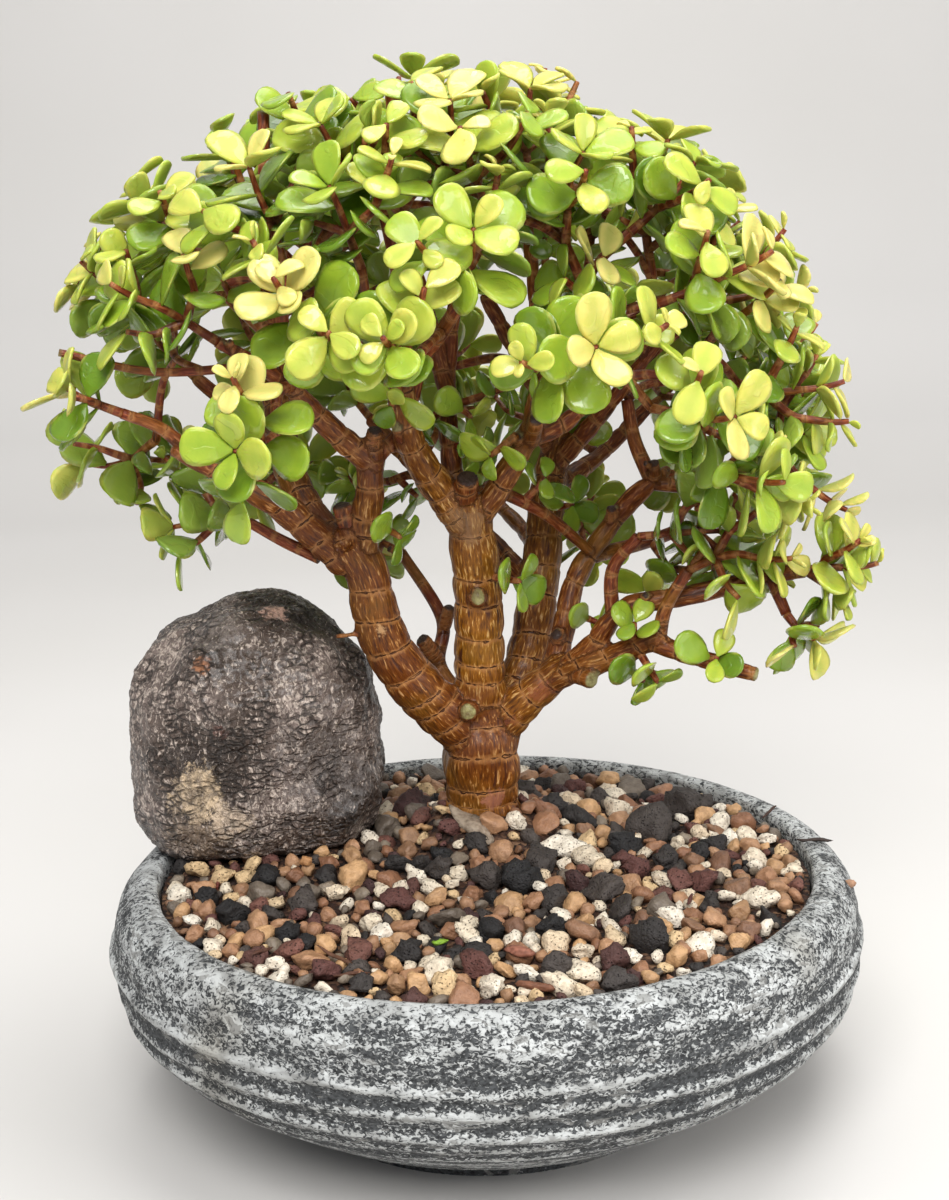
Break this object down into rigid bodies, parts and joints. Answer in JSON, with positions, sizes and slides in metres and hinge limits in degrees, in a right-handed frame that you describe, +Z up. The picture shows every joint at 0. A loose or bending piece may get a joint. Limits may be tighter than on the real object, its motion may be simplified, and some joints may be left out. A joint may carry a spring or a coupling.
{
  "type": "variegated dwarf jade bonsai in a round bowl",
  "caption": "Small succulent bonsai with a stout multi-limbed trunk and a domed crown of round fleshy leaves, potted in gravel in a ridged round cement bowl beside a worn dark stone.",
  "frame": {"origin": "centre of the bowl's flat foot, on the surface that it stands on", "axes": "+Z up the trunk; -Y is the front of the tree; +X is its right side"},
  "size_m": [0.2288, 0.2171, 0.2919],
  "materials": {
    "bowl_cement": "rough unglazed cement, charcoal dry-brushed with white",
    "screen_plastic": "matte",
    "gravel": "rough mixed pumice, fired clay and lava grains",
    "volcanic_stone": "rough, pitted, slightly damp",
    "bark": "satin, ring-scarred, finely fissured",
    "leaf_lime": "waxy leaf, glossy",
    "leaf_green": "waxy leaf, glossy",
    "leaf_cream": "waxy leaf, glossy"
  },
  "bodies": {
    "root": {"bowl": "bowl_cement", "drain_screen_left": "screen_plastic", "drain_screen_right": "screen_plastic", "soil": "gravel", "stone": "volcanic_stone", "trunk_and_branches": "bark", "spray_01": "leaf_lime", "spray_02": "leaf_green", "spray_03": "leaf_cream", "spray_04": "leaf_lime", "spray_05": "leaf_green", "spray_06": "leaf_cream", "spray_07": "leaf_lime", "spray_08": "leaf_green", "spray_09": "leaf_cream", "spray_10": "leaf_lime", "spray_11": "leaf_green", "spray_12": "leaf_cream", "spray_13": "leaf_lime", "spray_14": "leaf_green", "spray_15": "leaf_cream", "spray_16": "leaf_lime", "spray_17": "leaf_green", "spray_18": "leaf_cream", "spray_19": "leaf_lime", "spray_20": "leaf_green", "spray_21": "leaf_cream", "spray_22": "leaf_lime", "spray_23": "leaf_green", "spray_24": "leaf_cream", "spray_25": "leaf_lime", "spray_26": "leaf_green", "spray_27": "leaf_cream", "spray_28": "leaf_lime", "spray_29": "leaf_green", "spray_30": "leaf_cream", "spray_31": "leaf_lime", "spray_32": "leaf_green", "spray_33": "leaf_cream", "spray_34": "leaf_lime", "spray_35": "leaf_green", "spray_36": "leaf_cream", "spray_37": "leaf_lime", "spray_38": "leaf_green", "spray_39": "leaf_cream", "spray_40": "leaf_lime", "spray_41": "leaf_green"}
  },
  "joints": []
}
